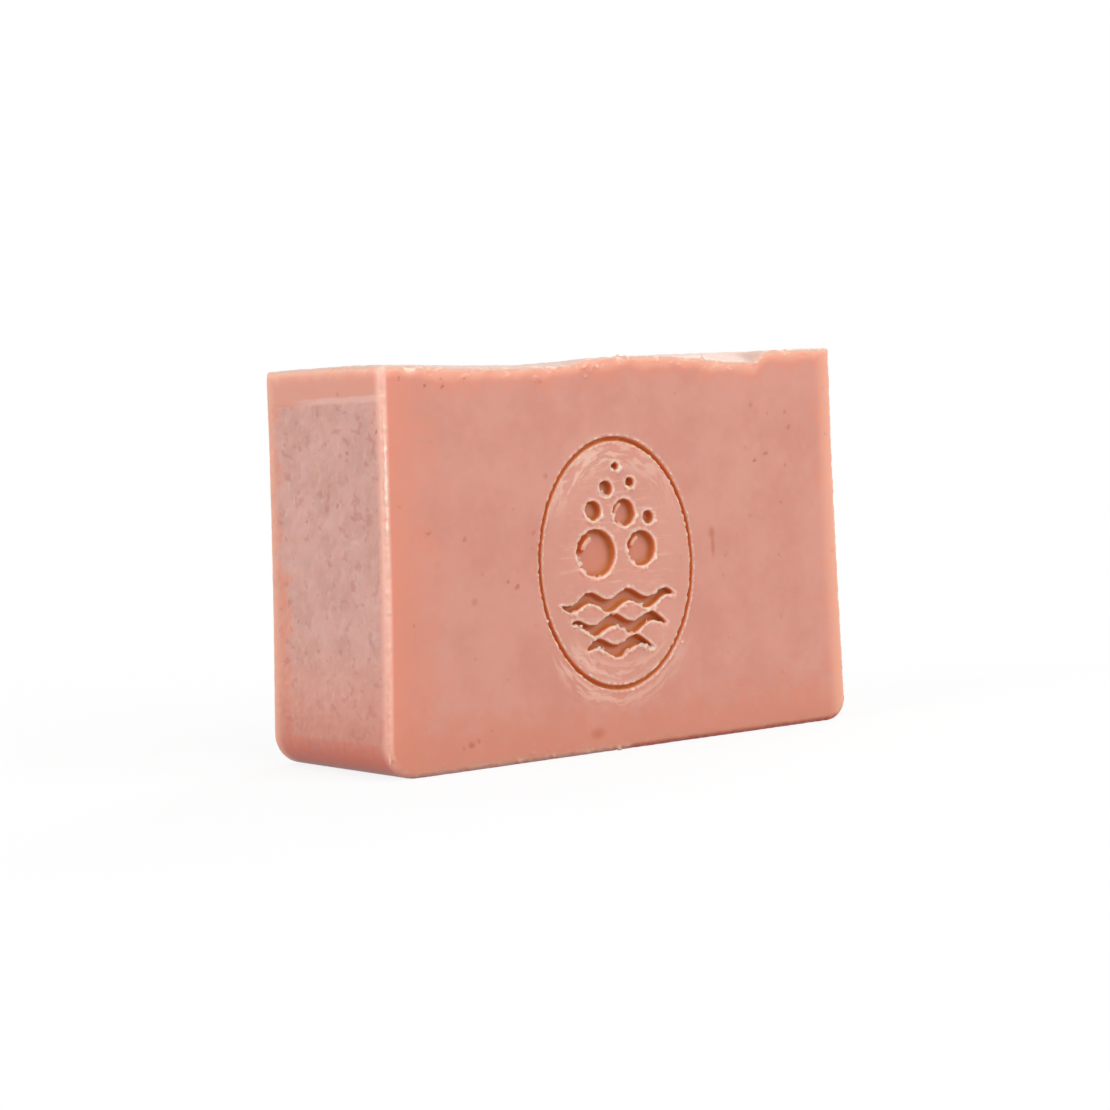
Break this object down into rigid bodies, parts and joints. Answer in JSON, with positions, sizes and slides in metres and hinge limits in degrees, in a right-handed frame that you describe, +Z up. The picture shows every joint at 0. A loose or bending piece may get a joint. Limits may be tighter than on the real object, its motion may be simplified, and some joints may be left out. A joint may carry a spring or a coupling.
{
  "type": "bar of soap",
  "caption": "Hand-cut bar of soap standing on a long side, with rounded mould corners, a wavy poured top and an oval bubble and wave stamp pressed into the front face.",
  "frame": {"origin": "middle of the foot, the long side that the bar stands on", "axes": "+X along the bar, +Y from the stamped face to the plain face, +Z up to the poured top"},
  "size_m": [0.0741, 0.0274, 0.0504],
  "materials": {
    "soap": "satin"
  },
  "bodies": {
    "root": {"soap_bar": "soap"}
  },
  "joints": []
}
